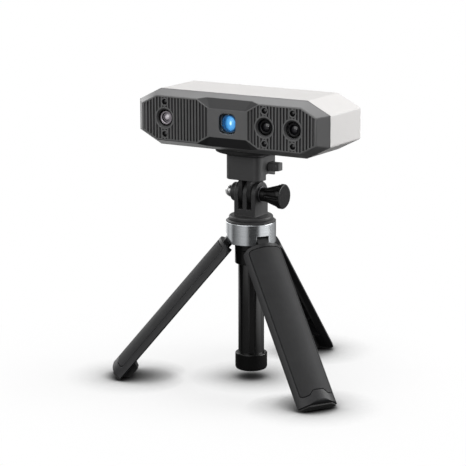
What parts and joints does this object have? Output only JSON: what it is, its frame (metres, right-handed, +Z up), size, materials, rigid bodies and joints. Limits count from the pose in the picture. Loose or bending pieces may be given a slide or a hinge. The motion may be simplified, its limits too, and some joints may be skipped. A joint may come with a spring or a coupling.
{
  "type": "three-d scanner",
  "caption": "Hand-size structured-light scanner head with ribbed front panels, cameras and projector, tilting on a quick-release mount over a folding mini tripod with telescopic pole.",
  "frame": {"origin": "centre of the footprint's bounding box, on the floor plane under the spread feet", "axes": "+Z up, -Y the way the scanner looks, +X to the right of someone who faces the scanner's front"},
  "size_m": [0.1522, 0.1346, 0.1752],
  "materials": {
    "white_plastic": "fine satin",
    "grey_plastic": "matte",
    "black_plastic": "fine matte grain",
    "black_aluminium": "black anodised",
    "aluminium": "fine brushed",
    "steel": "plain",
    "brass": "turned",
    "rubber": "matte",
    "dark_glass": "coated lens",
    "pale_glass": "coated lens",
    "lit_glass": "lit lens",
    "circuit_board": "solder mask"
  },
  "bodies": {
    "tripod": {"collar_ring": "aluminium", "leg_hub": "black_plastic", "leg_pins": "steel", "column_collar": "black_plastic", "column_tube": "black_aluminium", "column_cap": "black_plastic"},
    "pole": {"pole_lower": "black_aluminium"},
    "platform": {"pole_upper": "aluminium", "platform_cap": "black_plastic", "platform_stud": "steel", "finger_base": "black_plastic", "dome_nut": "steel"},
    "thumb_screw": {"pivot_bolt": "steel", "pivot_washer": "steel", "thumb_knob": "black_plastic"},
    "head": {"rear_housing": "white_plastic", "front_frame": "grey_plastic", "optical_bench": "aluminium", "bench_screws": "steel", "camera_barrels": "black_plastic", "left_lens": "pale_glass", "right_lenses": "dark_glass", "camera_boards": "circuit_board", "light_windows": "dark_glass", "light_boards": "circuit_board", "projector_window": "dark_glass", "projector_barrel": "black_plastic", "projector_lens": "lit_glass", "projector_engine": "black_plastic", "heat_sink": "aluminium", "main_board": "circuit_board", "board_chips": "black_plastic", "board_screws": "steel", "usb_socket": "steel", "button_switch": "black_plastic", "status_light": "lit_glass", "thread_insert": "brass", "base_pad": "rubber", "quick_release_plate": "black_plastic", "plate_screw": "steel", "adapter_block": "black_plastic", "release_spring": "steel"},
    "tab": {"release_tab": "black_plastic"},
    "button": {"scan_button": "grey_plastic"},
    "leg_rear": {"leg_rear_shell": "black_plastic", "leg_rear_cover": "black_plastic", "leg_rear_foot": "rubber"},
    "leg_left": {"leg_left_shell": "black_plastic", "leg_left_cover": "black_plastic", "leg_left_foot": "rubber"},
    "leg_right": {"leg_right_shell": "black_plastic", "leg_right_cover": "black_plastic", "leg_right_foot": "rubber"}
  },
  "joints": [
    {"name": "leg_rear_fold", "type": "hinge", "parent": "tripod", "child": "leg_rear", "pos_m": [0, -0.00497, 0.08716], "axis": [-1, 0, 0], "range_deg": [0, 40]},
    {"name": "leg_left_fold", "type": "hinge", "parent": "tripod", "child": "leg_left", "pos_m": [-0.00996, -0.02222, 0.08716], "axis": [0.5, -0.866, 0], "range_deg": [0, 40]},
    {"name": "leg_right_fold", "type": "hinge", "parent": "tripod", "child": "leg_right", "pos_m": [0.00996, -0.02222, 0.08716], "axis": [0.5, 0.866, 0], "range_deg": [0, 40]},
    {"name": "pole_lower_slide", "type": "slide", "parent": "tripod", "child": "pole", "axis": [0, 0, 1], "range_m": [0, 0.055]},
    {"name": "pole_upper_slide", "type": "slide", "parent": "pole", "child": "platform", "axis": [0, 0, 1], "range_m": [0, 0.055]},
    {"name": "head_tilt", "type": "hinge", "parent": "platform", "child": "head", "pos_m": [0, -0.01647, 0.11326], "axis": [1, 0, 0], "range_deg": [-85, 85]},
    {"name": "thumb_screw_turn", "type": "hinge", "parent": "platform", "child": "thumb_screw", "pos_m": [0, -0.01647, 0.11326], "axis": [1, 0, 0], "continuous": true},
    {"name": "release_tab_press", "type": "slide", "parent": "head", "child": "tab", "axis": [-1, 0, 0], "range_m": [0, 0.002], "stiffness_N_per_m": 400, "springref_m": -0.001, "deforming": ["release_spring"]},
    {"name": "scan_button_press", "type": "slide", "parent": "head", "child": "button", "axis": [0, -1, 0], "range_m": [0, 0.0006], "stiffness_N_per_m": 1500, "springref_m": -0.0003}
  ]
}
